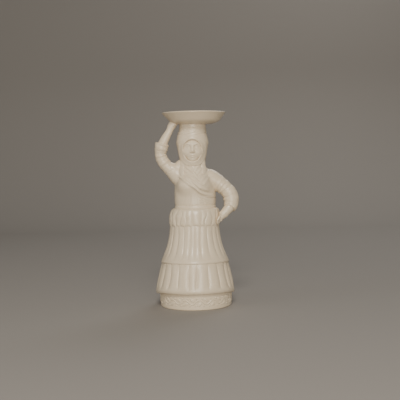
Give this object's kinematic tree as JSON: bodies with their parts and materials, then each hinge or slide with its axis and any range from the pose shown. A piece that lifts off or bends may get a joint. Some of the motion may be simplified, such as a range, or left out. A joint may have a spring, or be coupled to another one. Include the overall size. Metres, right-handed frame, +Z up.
{
  "type": "porcelain figurine",
  "caption": "Standing glazed porcelain figurine of a woman in a pleated two-tier skirt, holding a shallow dish on her head, on a round plinth.",
  "frame": {"origin": "centre of the plinth's flat underside, on the surface that the figurine stands on", "axes": "+Z up through the figure to the dish; the figure faces -Y; +X is the side of the arm on the hip"},
  "size_m": [0.079, 0.0736, 0.1802],
  "materials": {
    "glaze": "gloss"
  },
  "bodies": {
    "root": {"base_plinth": "glaze", "base_frieze": "glaze", "underskirt": "glaze", "overskirt": "glaze", "waist_frill": "glaze", "waistband": "glaze", "bodice": "glaze", "shawl": "glaze", "neck": "glaze", "head": "glaze", "headscarf": "glaze", "scarf_ends": "glaze", "head_pad": "glaze", "dish": "glaze", "right_sleeve": "glaze", "right_cuff": "glaze", "right_forearm": "glaze", "right_hand": "glaze", "left_sleeve": "glaze", "left_cuff": "glaze", "left_forearm": "glaze", "left_hand": "glaze"}
  },
  "joints": []
}
